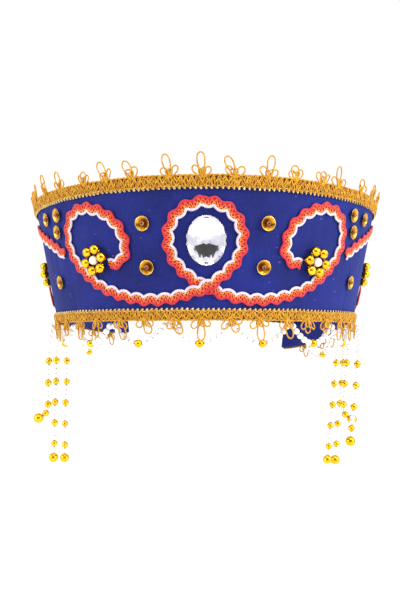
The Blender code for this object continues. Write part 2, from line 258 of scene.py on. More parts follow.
def along(points, places):
    # points at the given running lengths of a line, and the directions there
    run = distances(points)
    at = np.stack([np.interp(places, run, points[:, k]) for k in range(3)], -1)
    ahead = np.stack([np.interp(places + 0.2, run, points[:, k]) for k in range(3)], -1)
    behind = np.stack([np.interp(places - 0.2, run, points[:, k]) for k in range(3)], -1)
    return at, unit(ahead - behind)


# finishes


def linear(hexColour):
    # an sRGB hex value in linear light
    parts = np.array([int(hexColour[k : k + 2], 16) for k in (1, 3, 5)]) / 255
    return (*np.where(parts <= 0.04045, parts / 12.92, ((parts + 0.055) / 1.055) ** 2.4), 1.0)


def addNode(tree, kind, settings=(), links=()):
    # adds a node, sets its properties and sockets by name or number, and links outputs into it
    made = tree.nodes.new(kind)
    for key, value in dict(settings).items():
        if isinstance(key, str) and hasattr(made, key):
            setattr(made, key, value)
        else:
            made.inputs[key].default_value = value
    for key, output in dict(links).items():
        tree.links.new(output, made.inputs[key])
    return made


def newFinish(name, settings):
    material = bpy.data.materials.new(name)
    material.use_nodes = True
    tree = material.node_tree
    shader = tree.nodes["Principled BSDF"]
    for key, value in settings.items():
        shader.inputs[key].default_value = value
    return material, tree, shader


def ramp(tree, factor, stops, interpolation="LINEAR"):
    made = addNode(tree, "ShaderNodeValToRGB", {}, {"Fac": factor})
    made.color_ramp.interpolation = interpolation
    elements = made.color_ramp.elements
    while len(elements) < len(stops):
        elements.new(0.5)
    for element, (position, colour) in zip(elements, stops):
        element.position = position
        element.color = linear(colour)
    return made.outputs["Color"]


def mixColour(tree, factor, first, second, blend="MIX"):
    made = addNode(tree, "ShaderNodeMix", {"data_type": "RGBA", "blend_type": blend})
    for key, value in ((0, factor), (6, first), (7, second)):
        if isinstance(value, (float, tuple)):
            made.inputs[key].default_value = value
        else:
            tree.links.new(value, made.inputs[key])
    return made.outputs[2]


def runMap(tree, scale=(1.0, 1.0, 1.0)):
    # the piece's own UV, in mm, scaled
    uv = addNode(tree, "ShaderNodeUVMap", {"uv_map": "threadRun"})
    return addNode(tree, "ShaderNodeMapping", {"Scale": scale}, {"Vector": uv.outputs["UV"]}).outputs["Vector"]


def noise(tree, vector, scale=1.0, detail=2.0):
    return addNode(tree, "ShaderNodeTexNoise", {"Scale": scale, "Detail": detail}, {"Vector": vector}).outputs["Fac"]


def objectMap(tree, scale):
    place = addNode(tree, "ShaderNodeTexCoord")
    return addNode(tree, "ShaderNodeMapping", {"Scale": (scale,) * 3}, {"Vector": place.outputs["Object"]}).outputs["Vector"]


def math(tree, operation, first, second=0.0):
    made = addNode(tree, "ShaderNodeMath", {"operation": operation})
    for key, value in ((0, first), (1, second)):
        if isinstance(value, float):
            made.inputs[key].default_value = value
        else:
            tree.links.new(value, made.inputs[key])
    return made.outputs[0]


def bumpInto(tree, shader, height, strength, distance):
    made = addNode(tree, "ShaderNodeBump", {"Strength": strength, "Distance": distance * mm}, {"Height": height})
    tree.links.new(made.outputs["Normal"], shader.inputs["Normal"])


def twistHeight(tree, lay, circumference):
    # twisted yarn: ridges that climb once round the yarn in one lay
    split = addNode(tree, "ShaderNodeSeparateXYZ", {}, {0: runMap(tree)})
    climb = math(tree, "MULTIPLY", split.outputs[0], turnRound / lay * 2)
    turn = math(tree, "MULTIPLY", split.outputs[1], turnRound / circumference)
    wave = math(tree, "SINE", math(tree, "ADD", climb, turn))
    return math(tree, "MULTIPLY", math(tree, "ADD", wave, 1.0), 0.5)


def clothFinish():
    # dyed plain-weave cotton: matt, with slubs along both threads, pale lint and a worn bloom
    material, tree, shader = newFinish("wovenNavyCotton", {"Roughness": 0.85, "Specular IOR Level": 0.25})
    shader.inputs["Sheen Weight"].default_value = 0.12
    shader.inputs["Sheen Roughness"].default_value = 0.5
    shader.inputs["Sheen Tint"].default_value = linear("#5a6cd8")
    warp = noise(tree, runMap(tree, (1.9, 0.14, 1.0)), 1.0, 2.0)
    weft = noise(tree, runMap(tree, (0.16, 2.1, 1.0)), 1.0, 2.0)
    broad = noise(tree, objectMap(tree, 38.0), 1.0, 2.0)
    threads = mixColour(tree, 0.5, warp, weft)
    base = ramp(tree, threads, [(0.30, "#0a0f42"), (0.50, "#111a63"), (0.70, "#1c2b86")])
    base = mixColour(tree, 0.55, base, ramp(tree, broad, [(0.3, "#0c1250"), (0.7, "#18257a")]))
    lintPlace = runMap(tree, (0.16, 0.30, 1.0))
    specks = addNode(tree, "ShaderNodeTexVoronoi", {"Scale": 1.0, "Randomness": 1.0}, {"Vector": lintPlace})
    near = addNode(
        tree,
        "ShaderNodeMapRange",
        {"From Min": 0.16, "From Max": 0.04, "To Min": 0.0, "To Max": 1.0},
        {"Value": specks.outputs["Distance"]},
    )
    seldom = addNode(
        tree,
        "ShaderNodeMapRange",
        {"From Min": 0.50, "From Max": 0.66, "To Min": 0.0, "To Max": 0.5},
        {"Value": noise(tree, runMap(tree, (0.11, 0.11, 1.0)), 1.0, 1.0)},
    )
    lint = math(tree, "MULTIPLY", near.outputs[0], seldom.outputs[0])
    base = mixColour(tree, lint, base, linear("#6f7fc0"))
    tree.links.new(base, shader.inputs["Base Color"])
    split = addNode(tree, "ShaderNodeSeparateXYZ", {}, {0: runMap(tree)})
    over = math(tree, "SINE", math(tree, "MULTIPLY", split.outputs[0], turnRound / 0.9))
    under = math(tree, "SINE", math(tree, "MULTIPLY", split.outputs[1], turnRound / 0.9))
    weave = math(tree, "MULTIPLY", over, under)
    slub = math(tree, "ADD", weave, math(tree, "MULTIPLY", threads, 3.0))
    bumpInto(tree, shader, slub, 0.35, 0.06)
    return material


def gimpFinish():
    # gimp: a core wound with lemon-gold rayon and metal strip, so it shines in short ribs
    # tone 0 is the ground, painted dark brown as the shade between the cords, 0.5 the cord and 1 the paler edge loops
    material, tree, shader = newFinish("woundGoldGimp", {"Metallic": 0.35, "Roughness": 0.42})
    tone = addNode(tree, "ShaderNodeAttribute", {"attribute_name": "tone"}).outputs["Fac"]
    ridge = twistHeight(tree, 0.9, 2.6)
    # painted shade: the darkest stop, at tone 0, darkens the ground under the cords
    toneColour = ramp(tree, tone, [(0.0, "#5c3a04"), (0.35, "#b47a0c"), (0.55, "#dca21a"), (0.75, "#e8b828"), (1.0, "#ecdc98")])
    mottle = noise(tree, runMap(tree, (0.5, 0.9, 1.0)), 1.0, 3.0)
    shade = ramp(tree, mottle, [(0.3, "#b98a3a"), (0.65, "#ffffff")])
    colour = mixColour(tree, 0.75, toneColour, shade, "MULTIPLY")
    # painted shade: the base colour is darkened in the grooves of the twist
    grooveShade = ramp(tree, ridge, [(0.0, "#a07828"), (0.5, "#ffffff")])
    colour = mixColour(tree, 0.5, colour, grooveShade, "MULTIPLY")
    tree.links.new(colour, shader.inputs["Base Color"])
    bumpInto(tree, shader, ridge, 0.6, 0.12)
    return material


def rickrackFinish():
    # woven rayon: bright twisted yarns, each dyed one colour, with a soft gloss
    # tone: below 0.2 crimson edge, 0.4 red ground, 0.6 orange, 0.8 gold, above that the white edge
    material, tree, shader = newFinish("wovenRayonRickrack", {"Roughness": 0.55, "Specular IOR Level": 0.4})
    shader.inputs["Sheen Weight"].default_value = 0.15
    tone = addNode(tree, "ShaderNodeAttribute", {"attribute_name": "tone"}).outputs["Fac"]
    toneColour = ramp(
        tree,
        tone,
        [(0.0, "#c41428"), (0.2, "#a80f10"), (0.4, "#ee5428"), (0.6, "#f29a3c"), (0.8, "#d6cde0")],
        "CONSTANT",
    )
    ridge = twistHeight(tree, 1.1, 3.6)
    mottle = noise(tree, runMap(tree, (0.8, 0.8, 1.0)), 1.0, 2.0)
    shade = ramp(tree, mottle, [(0.25, "#c8b0a8"), (0.6, "#ffffff")])
    colour = mixColour(tree, 0.6, toneColour, shade, "MULTIPLY")
    # painted shade: the base colour is darkened in the grooves of the twist
    grooveShade = ramp(tree, ridge, [(0.0, "#b08c84"), (0.55, "#ffffff")])
    colour = mixColour(tree, 0.45, colour, grooveShade, "MULTIPLY")
    tree.links.new(colour, shader.inputs["Base Color"])
    bumpInto(tree, shader, ridge, 0.5, 0.10)
    return material


def goldBeadFinish():
    # vacuum-metallised plastic under clear lacquer: a bright yellow mirror, a little uneven
    material, tree, shader = newFinish("lacqueredGoldBead", {"Metallic": 1.0})
    place = objectMap(tree, 420.0)
    cloud = noise(tree, place, 1.0, 3.0)
    base = ramp(tree, cloud, [(0.3, "#d69a12"), (0.55, "#ecb922"), (0.75, "#f6cf3c")])
    tree.links.new(base, shader.inputs["Base Color"])
    rough = addNode(tree, "ShaderNodeMapRange", {"To Min": 0.10, "To Max": 0.24}, {"Value": cloud})
    tree.links.new(rough.outputs[0], shader.inputs["Roughness"])
    bumpInto(tree, shader, noise(tree, objectMap(tree, 900.0), 1.0, 1.0), 0.12, 0.10)
    return material


def pearlFinish():
    # plastic bead dipped in pearl essence: white body, a clear skin and a faint pink and green cast
    material, tree, shader = newFinish(
        "dippedPearl", {"Roughness": 0.28, "Coat Weight": 0.6, "Coat Roughness": 0.08, "Specular IOR Level": 0.6}
    )
    cast = noise(tree, objectMap(tree, 210.0), 1.0, 1.0)
    base = ramp(tree, cast, [(0.32, "#e6dcd6"), (0.5, "#efe6e4"), (0.66, "#e4e4da")])
    tree.links.new(base, shader.inputs["Base Color"])
    bumpInto(tree, shader, noise(tree, objectMap(tree, 1400.0), 1.0, 1.0), 0.08, 0.05)
    return material


def sequinFinish():
    # pressed gold film, metal-bright, with pressed rings; its colour paints shade as dark amber down in the cup and a
    # lighter gold at the rim
    material, tree, shader = newFinish("pressedGoldFilm", {"Metallic": 0.85, "Roughness": 0.24})
    tone = addNode(tree, "ShaderNodeAttribute", {"attribute_name": "tone"}).outputs["Fac"]
    # painted shade and light: dark amber down in the cup, lighter gold toward the rim
    depth = ramp(tree, tone, [(0.0, "#6e3c08"), (0.45, "#b87a18"), (0.8, "#d8a432"), (1.0, "#f0d060")])
    cloud = ramp(tree, noise(tree, objectMap(tree, 300.0), 1.0, 2.0), [(0.3, "#c89858"), (0.6, "#ffffff")])
    tree.links.new(mixColour(tree, 0.6, depth, cloud, "MULTIPLY"), shader.inputs["Base Color"])
    bumpInto(tree, shader, noise(tree, objectMap(tree, 700.0), 1.0, 1.0), 0.2, 0.12)
    return material


def amberFinish():
    # pressed amber glass: dark where it is deep, bright where light leaves it
    material, tree, shader = newFinish(
        "amberSeedGlass", {"Roughness": 0.08, "Transmission Weight": 0.35, "Coat Weight": 0.5}
    )
    cloud = noise(tree, objectMap(tree, 500.0), 1.0, 2.0)
    tree.links.new(ramp(tree, cloud, [(0.3, "#6a2c06"), (0.6, "#a8580e"), (0.8, "#cc8426")]), shader.inputs["Base Color"])
    return material


def threadFinish():
    # clear nylon monofilament, grey where it catches no light
    material, tree, shader = newFinish("nylonThread", {"Roughness": 0.3})
    streak = noise(tree, runMap(tree, (0.6, 3.0, 1.0)), 1.0, 2.0)
    tree.links.new(ramp(tree, streak, [(0.3, "#8f8f86"), (0.7, "#c9c8bf")]), shader.inputs["Base Color"])
    return material


def elasticFinish():
    # knitted elastic: rubber cords under polyester yarn, seen as fine ribs along its length
    material, tree, shader = newFinish("knittedElastic", {"Roughness": 0.8})
    split = addNode(tree, "ShaderNodeSeparateXYZ", {}, {0: runMap(tree)})
    rib = math(tree, "SINE", math(tree, "MULTIPLY", split.outputs[1], turnRound / 1.2))
    stitch = math(tree, "SINE", math(tree, "MULTIPLY", split.outputs[0], turnRound / 0.9))
    height = math(tree, "ADD", rib, math(tree, "MULTIPLY", stitch, 0.4))
    # painted shade: the base colour follows the rib height, darker in the hollows between the ribs
    shade = addNode(tree, "ShaderNodeMapRange", {"From Min": -1.4, "From Max": 1.4}, {"Value": height})
    tree.links.new(ramp(tree, shade.outputs[0], [(0.1, "#080b30"), (0.9, "#1a2468")]), shader.inputs["Base Color"])
    bumpInto(tree, shader, height, 0.6, 0.12)
    return material


def stoneFinish():
    # polished glass: clear, with the faint lilac of the cut edges
    material, tree, shader = newFinish(
        "cutGlass", {"Roughness": 0.01, "Transmission Weight": 1.0, "IOR": 1.52}
    )
    cloud = noise(tree, objectMap(tree, 150.0), 1.0, 1.0)
    tree.links.new(ramp(tree, cloud, [(0.3, "#f2f0fa"), (0.7, "#ffffff")]), shader.inputs["Base Color"])
    return material


def foilFinish():
    # silvering on the back facets, slightly wrinkled
    material, tree, shader = newFinish("silverFoil", {"Metallic": 1.0, "Roughness": 0.05})
    cloud = noise(tree, objectMap(tree, 260.0), 1.0, 2.0)
    tree.links.new(ramp(tree, cloud, [(0.3, "#cfcdd8"), (0.7, "#f4f3f8")]), shader.inputs["Base Color"])
    return material


finishes = {
    "cloth": clothFinish(),
    "gimp": gimpFinish(),
    "rickrack": rickrackFinish(),
    "gold": goldBeadFinish(),
    "pearl": pearlFinish(),
    "sequin": sequinFinish(),
    "amber": amberFinish(),
    "thread": threadFinish(),
    "elastic": elasticFinish(),
    "stone": stoneFinish(),
    "foil": foilFinish(),
}
print("finishes made:", len(finishes))


# cloth: one piece folded over the stiffener at both edges, inside and out
clothCut = {
    "columnStep": 0.6,  # degrees
    "outerRows": 46,
    "innerRows": 12,
    "creases": 46,
    "seed": 7,
    "creaseDepth": 0.42,  # mm, always inwards, so that the trims still sit on the cloth
}


def clothDent(angle, height):
    # the sum of soft upright creases: depth times a bell curve across each, leaning a little
    rng = np.random.default_rng(clothCut["seed"])
    dent = np.zeros(np.broadcast(angle, height).shape)
    for middle in np.linspace(-139, 139, clothCut["creases"]):
        place = middle + rng.uniform(-2.5, 2.5)
        slant, width = rng.uniform(-0.05, 0.05), rng.uniform(0.7, 1.7)
        depth = clothCut["creaseDepth"] * rng.uniform(0.15, 1.0)
        centre, reach = rng.uniform(10, 58), rng.uniform(16, 40)
        bell = np.exp(-(((angle - place - slant * (height - 34)) / width) ** 2))
        dent = dent + depth * bell * np.exp(-(((height - centre) / reach) ** 2))
    return dent


def buildCloth():
    half, wall, top = band["wall"] / 2, band["wall"], band["height"]
    rise = np.linspace(half, top - half, clothCut["outerRows"])
    fold = np.linspace(0, np.pi, 7)[1:-1]
    inner = np.linspace(top - half, half, clothCut["innerRows"])
    heights = np.concatenate([rise, top - half + half * np.sin(fold), inner, half - half * np.sin(fold)])
    outs = np.concatenate([np.zeros(len(rise)), -half + half * np.cos(fold), np.full(len(inner), -wall), -half - half * np.cos(fold)])
    angles = np.arange(-band["end"], band["end"] + 0.01, clothCut["columnStep"])
    tuck = np.array([0.0, 0.12, 0.32])
    angles = np.concatenate([-band["end"] + tuck, angles[1:-1], band["end"] - tuck[::-1]])
    angle, height = np.meshgrid(angles, heights, indexing="ij")
    out = np.broadcast_to(outs, angle.shape)
    dent = clothDent(angle, height)
    puff = 0.35 * clothDent(angle * 0.93 + 17, height)
    out = np.where(out > -half, out - dent * np.cos(np.pi * np.clip(out / -wall, 0, 0.5)), out - puff)
    reach = np.clip((band["end"] - np.abs(angle)) * 1.7 / half, 0, 1)
    rounding = np.sqrt(np.clip(1 - (1 - reach) ** 2, 0.02, 1))
    out = -half + (out + half) * rounding
    cover = makePiece("clothCover", [shell(bandPoint(angle, height, out)[None])], finishes["cloth"], ["band"])


buildCloth()


# gold gimp braid: hairpins of gimp over a ground, crossed by finer cords, with loops on both edges
braidMake = {
    "pitch": 2.64,  # mm from one hairpin to the next
    "cord": 1.0,
    "fine": 0.62,
    "loopCord": 0.8,
    "fanPitch": 9.37,  # degrees from one picot fan to the next
    "fanShift": -1.3,
}

# fans that the photograph shows one by one: shift in degrees, lean and rise in mm of the middle loop
topFans = {
    # fan: shift, lean, rise, spread of the side loops
    -7: (0.0, -0.5, 8.0, 0.7),
    -6: (0.4, -1.5, 10.0, 0.5),
    -5: (0.6, -1.0, 8.5, 0.9),
    -4: (2.0, 1.0, 5.2, 0.8),
    -3: (1.2, -4.2, 8.6, 0.7),
    -2: (0.2, -5.0, 7.6, 0.6),
    -1: (1.2, -2.6, 9.6, 1.0),
    0: (0.5, -0.9, 10.3, 1.0),
    1: (0.3, -5.2, 8.2, 1.0),
    2: (0.0, 0.9, 9.6, 1.0),
    3: (-1.0, -1.8, 6.0, 0.7),
    4: (-1.5, 1.2, 5.2, 0.9),
    5: (-4.0, -0.4, 9.4, 1.1),
    6: (-1.0, 0.5, 6.5, 0.9),
    7: (0.0, 0.5, 7.0, 0.8),
}
bottomFans = {
    # fan: shift, lean, rise, spread of the side loops
    -7: (0.0, 0.4, 10.4, 0.8),
    -6: (0.0, -0.8, 7.5, 0.9),
    -5: (0.0, 1.7, 9.6, 0.8),
    -4: (0.0, -0.6, 7.8, 0.8),
    -3: (0.4, 2.6, 9.6, 0.9),
    -2: (0.0, 3.0, 6.6, 1.1),
    -1: (0.3, 4.2, 6.8, 0.8),
    0: (0.0, 0.0, 10.2, 1.1),
    1: (0.0, 3.4, 5.8, 1.3),
    2: (0.2, 0.7, 10.2, 1.1),
    3: (0.4, 3.0, 9.0, 0.8),
    4: (0.0, 0.5, 6.2, 1.0),
    5: (0.0, -0.5, 6.0, 0.9),
    6: (0.0, -1.6, 9.8, 0.9),
    7: (0.0, -0.8, 10.2, 0.8),
}


def picotLoops(fans, fan):
    # one fan: rows of direction in degrees, length, half width and twist in degrees of its five loops
    rng = np.random.default_rng(100 + fan)
    loose = (rng.uniform(-0.8, 0.8), rng.uniform(-2.5, 2.5), rng.uniform(6.0, 9.8), rng.uniform(0.7, 1.1))
    shift, leaning, rise, spread = fans.get(fan, loose)
    base = 1.8
    middle = np.degrees(np.arctan2(leaning, rise + base))
    tall = np.hypot(leaning, rise + base)
    jitter = rng.uniform(-1, 1, 10)
    return shift, [
        (middle, tall, 1.75, 12 * jitter[0]),
        (middle * 0.4 - 38 * spread + 5 * jitter[1], 6.6 + 0.8 * jitter[2], 1.5, 25 * jitter[3]),
        (middle * 0.4 + 38 * spread + 5 * jitter[4], 6.6 + 0.8 * jitter[5], 1.5, 25 * jitter[6]),
        (middle * 0.7 - 13, 4.6 + 0.5 * jitter[7], 0.9, 30 * jitter[8]),
        (middle * 0.7 + 13, 4.9 + 0.5 * jitter[9], 0.9, -30 * jitter[8]),
    ]


def buildBraid(name, nodeName, innerEdge, outerEdge, fans, seed):
    side = 1 if outerEdge > innerEdge else -1
    deep = abs(outerEdge - innerEdge)
    radius = band["radius"] + band["flare"] * (innerEdge + outerEdge) / 2
    perDegree = radius * np.pi / 180
    length = 2 * band["end"] * perDegree
    gap = band["gap"]

    def laid(run, share, out):
        # a line on the cloth: run in mm along the braid, share across it from the inner edge, out of the cloth
        angle = np.clip(run / perDegree, -band["end"], band["end"])
        return bandPoint(angle, innerEdge + side * deep * share, out)[None], bandOut(angle)[None]

    def strand(run, share, out, width, height, tone, sides=6):
        points, outward = laid(run, share, out)
        return cord(points, outward, width, height, sides, tone)

    shells = []
    # ground: a flat woven strip under the cords, at tone 0.05, which the finish paints dark as the shade in the gaps
    run = np.linspace(-length / 2 + 0.3, length / 2 - 0.3, 420)
    shells.append(strand(run, 0.50 + 0 * run, gap + 0.22, deep * 0.92, 0.42, 0.05, 8))
    # hairpins: run = pitch (t + sin 4 pi t / 4 pi), share = (1 - cos 2 pi t) / 2, so the legs stand square
    count = int(length / braidMake["pitch"])
    t = np.arange(count * 14 + 1) / 14
    swing = wander(t, seed, 0.22)
    run = braidMake["pitch"] * (t + np.sin(2 * turnRound * t) / (2 * turnRound)) - length / 2 + 0.6 + swing
    share = 0.08 + 0.80 * (0.5 - 0.5 * np.cos(turnRound * t)) + wander(t * 1.7, seed + 1, 0.03)
    out = gap + 0.72 + 0.10 * np.sin(turnRound * t / 2)
    shells.append(strand(run, share, out, braidMake["cord"], 0.85, 0.5))
    # edge loops: a curl that turns once in each pitch along the inner edge
    t = np.arange(count * 12 + 1) / 12
    run = braidMake["pitch"] * (t + 0.25) - 0.86 * np.sin(turnRound * t) - length / 2 + 0.6 + wander(t, seed, 0.22)
    share = 0.09 - 0.115 * np.cos(turnRound * t) + wander(t, seed + 2, 0.02)
    out = gap + 0.62 + 0.16 * np.sin(turnRound * t)
    shells.append(strand(run, share, out, 0.66, 0.6, 1.0, 5))
    # crossing cords: sines of unrelated pitch that lie over the hairpins
    for number, (pitch, middle, reach, tone) in enumerate([(4.1, 0.42, 0.26, 0.62), (3.3, 0.62, 0.24, 0.72), (5.3, 0.55, 0.34, 0.45)]):
        run = np.linspace(-length / 2 + 0.8, length / 2 - 0.8, int(length / pitch * 9))
        drift = wander(run / 3, seed + 10 + number, 0.8)
        phase = turnRound * (run + drift) / pitch
        share = middle + reach * np.sin(phase) + wander(run / 2, seed + 20 + number, 0.04)
        out = gap + 1.12 + 0.16 * np.cos(phase * 0.5 + number)
        shells.append(strand(run + 0.3 * np.sin(2 * phase), share, out, braidMake["fine"], 0.5, tone, 5))
    # outer edge: a heavier cord with a shallow wave
    run = np.linspace(-length / 2 + 0.5, length / 2 - 0.5, int(length / 0.9))
    share = 0.93 + 0.03 * np.sin(turnRound * run / 2.64) + wander(run / 3, seed + 30, 0.015)
    shells.append(strand(run, share, gap + 0.68, 0.95, 0.9, 0.6))
    # picots: teardrops, length (1 - cos a) / 2 along and width sin a sin(a/2) across
    a = np.linspace(0, turnRound, 19)
    for fan in range(-15, 16):
        shift, loops = picotLoops(fans, fan)
        middle = fan * braidMake["fanPitch"] + braidMake["fanShift"] + shift
        for number, (direction, tall, half, twist) in enumerate(loops):
            if abs(middle) > band["end"] - 3:
                continue
            lie, tip = np.radians(direction), np.radians(twist)
            lengthwise = tall * (0.5 - 0.5 * np.cos(a))
            sidewise = 1.55 * half * np.sin(a) * np.sin(a / 2) ** 1.4
            bow = 0.5 * np.sin(a / 2) * np.sin(0.9 * number + fan)
            across = lengthwise * np.sin(lie) + sidewise * np.cos(tip) * np.cos(lie)
            rise = lengthwise * np.cos(lie) - sidewise * np.cos(tip) * np.sin(lie)
            out = gap + 0.75 + 0.22 * (number % 3) + sidewise * np.sin(tip) + bow
            height = outerEdge + side * (rise - 1.8)
            angle = middle + across / perDegree
            points = bandPoint(angle, height, out)[None]
            shells.append(cord(points, bandOut(angle)[None], braidMake["loopCord"], 0.72, 6, 0.58 + 0.12 * (number > 2)))
    return makePiece(name, shells, finishes["gimp"], [nodeName])


buildBraid("topBraid", "top_braid", 63.9, 70.7, topFans, 11)
buildBraid("bottomBraid", "bottom_braid", 5.4, -0.6, bottomFans, 41)


# rickrack: a white edge cord in scallops, a crimson one on the other side, zigzag yarns between
rickrack = {
    "scallop": 7.45,  # mm from cusp to cusp
    "wave": 0.9,
    "zigzag": 2.13,
    "lift": 1.3,
}

frontScroll = [
    # angle, height in mm, from the tail of a curl to the top of the middle loop
    (30.5, 28.2),
    (26.2, 30.4),
    (24.4, 37.0),
    (26.4, 47.4),
    (32.0, 55.4),
    (39.4, 58.2),
    (45.4, 53.8),
    (47.6, 43.6),
    (45.6, 32.8),
    (39.6, 22.6),
    (31.6, 15.0),
    (21.6, 10.5),
    (12.6, 10.2),
    (5.4, 12.8),
    (0.0, 16.2),
    (-6.4, 23.6),
    (-10.3, 33.2),
    (-10.5, 44.6),
    (-6.6, 54.2),
    (0.0, 58.2),
]
sideScroll = [
    # angle, height in mm, from the front curl's outer edge to the tail beside the side flower
    (51.2, 36.0),
    (58.0, 42.0),
    (67.8, 48.8),
    (78.0, 54.8),
    (89.0, 57.6),
    (99.0, 54.2),
    (104.5, 45.0),
    (105.0, 33.0),
    (100.0, 20.5),
    (91.0, 12.6),
    (83.4, 14.4),
    (80.6, 21.4),
]


def buildRickrack(name, nodeName, path, whiteSide, phase, crossing=None):
    fine = bandPoint(path[:, 0], path[:, 1])
    run = distances(fine)
    total = run[-1]

    def laid(step, sideOf, outOf):
        # a yarn: side to the left of the run and out of the cloth, both functions of the running length
        place = np.linspace(0, total, int(total / step))
        angle, height = np.interp(place, run, path[:, 0]), np.interp(place, run, path[:, 1])
        centre, outward = bandPoint(angle, height), bandOut(angle)
        across = unit(np.cross(outward, unit(np.gradient(centre, axis=0))))
        near = np.zeros_like(place) if crossing is None else np.clip(1.8 * (1 - np.abs(place - crossing) / 12), 0, 1)
        lift = rickrack["lift"] * near**2 * (3 - 2 * near)
        side = whiteSide * sideOf(place)
        points = centre + across * side[:, None] + outward * (band["gap"] + outOf(place) + lift)[:, None]
        return points[None], outward[None]

    def scallop(place):
        # rounded towards the white edge, pointed away from it
        return rickrack["wave"] * (2 * np.abs(np.cos(np.pi * (place + phase) / rickrack["scallop"])) ** 0.75 - 1)

    def ripple(place):
        return rickrack["wave"] * 0.82 * np.cos(turnRound * (place + phase) / rickrack["scallop"])

    def saw(place, offset):
        return np.sin(turnRound * place / rickrack["zigzag"] + offset)

    yarns = [
        # step, side, out, width, height, tone, sides
        (0.6, lambda s: ripple(s) - 0.1, lambda s: 0.28 + 0 * s, 4.0, 0.5, 0.3, 8),
        (0.4, lambda s: 1.95 + scallop(s), lambda s: 0.62 + 0 * s, 1.45, 1.1, 0.9, 8),
        (0.4, lambda s: -1.95 + ripple(s), lambda s: 0.60 + 0 * s, 1.5, 1.1, 0.1, 8),
        (0.24, lambda s: 0.62 + scallop(s) * 0.9 + 0.55 * saw(s, 0.0), lambda s: 0.72 + 0.12 * saw(s, 1.5), 0.72, 0.6, 0.7, 5),
        (0.24, lambda s: -0.45 + ripple(s) + 0.85 * saw(s, 2.4), lambda s: 0.80 + 0.10 * saw(s, 0.6), 0.80, 0.62, 0.5, 5),
    ]
    shells = []
    for step, sideOf, outOf, width, height, tone, sides in yarns:
        points, outward = laid(step, sideOf, outOf)
        shells.append(cord(points, outward, width, height, sides, tone))
    return makePiece(name, shells, finishes["rickrack"], [nodeName])


def buildTrims():
    half = smoothPath(frontScroll)
    left = half * (-1, 1)
    front = np.vstack([left, half[::-1][1:]])
    run = distances(bandPoint(front[:, 0], front[:, 1]))
    crossingRow = 60 + int(np.argmax(left[60:, 0] > 0))
    buildRickrack("rickrackFront", "front_scroll", front, 1, 0.0, run[crossingRow])
    side = smoothPath(sideScroll)
    buildRickrack("rickrackSideRight", "side_scroll_right", side, -1, 1.5)
    buildRickrack("rickrackSideLeft", "side_scroll_left", (side * (-1, 1))[::-1], -1, 0.5)


buildTrims()


# cut stone: glass crown over silvered back facets, sewn on through a small hole
stone = {
    "wide": 20.4,
    "tall": 25.0,
    "thick": 5.2,
    "angle": 0.3,
    "height": 39.0,
}


def buildStone():
    # rings of corners on ellipses, and the convex hull of them all
    rings = [
        # share of the size, height share, corners, turn of the corners
        (0.16, 0.0, 8, 0.0),
        (0.55, 0.05, 8, 0.5),
        (0.90, 0.16, 16, 0.0),
        (1.0, 0.26, 32, 0.0),
        (0.985, 0.34, 32, 0.0),
        (0.80, 0.80, 8, 0.5),
        (0.62, 1.0, 8, 0.0),
    ]
    origin, alongs, upwards, outwards = bandSeats([stone["angle"]], [stone["height"]], band["gap"])
    shape = bmesh.new()
    for share, rise, corners, turn in rings:
        place = turnRound * (np.arange(corners) + turn) / corners
        points = origin + alongs * (share * stone["wide"] / 2 * np.cos(place))[:, None]
        points = points + upwards * (share * stone["tall"] / 2 * np.sin(place))[:, None] + outwards * stone["thick"] * rise
        for point in points * mm:
            shape.verts.new(point)
    bmesh.ops.convex_hull(shape, input=shape.verts)
    bmesh.ops.delete(shape, geom=[v for v in shape.verts if not v.link_faces], context="VERTS")
    bmesh.ops.dissolve_limit(shape, angle_limit=0.01, verts=shape.verts, edges=shape.edges)
    bmesh.ops.recalc_face_normals(shape, faces=shape.faces)
    mesh = bpy.data.meshes.new("cutStone")
    shape.to_mesh(mesh)
    shape.free()
    mesh.materials.append(finishes["stone"])
    mesh.materials.append(finishes["foil"])
    for face in mesh.polygons:
        face.material_index = int(np.dot(face.normal, outwards[0]) < -0.05)
    obj = bpy.data.objects.new("cutStone", mesh)
    bpy.context.scene.collection.objects.link(obj)
    settle(obj, ["crystal"])
    # the sewing thread through the two holes, near the stone's top and foot
    ends = np.array([[0.0, 0.80], [0.0, -0.84]]) * (1, stone["tall"] / 2)
    places = origin + alongs * ends[:, :1] + upwards * ends[:, 1:]
    stitch = np.stack([places + outwards * rise for rise in (3.9, 4.25, 4.35)], 1)
    makePiece("stoneStitches", [cord(stitch, np.broadcast_to(alongs, stitch.shape), 0.75, 0.75, 8)], finishes["thread"])


buildStone()


# flowers: six gold beads strung round a pearl
flowers = {
    # name: angle, height in mm, turn of the petals, CAD name
    "frontLeft": (-35.5, 31.4, 12.0, "front_left"),
    "frontRight": (35.8, 30.4, -8.0, "front_right"),
    "sideLeft": (-90.0, 31.0, 0.0, "side_left"),
    "sideRight": (90.0, 31.0, 0.0, "side_right"),
}
flowerMake = {"petal": 2.62, "ring": 5.75, "pearl": 2.4}


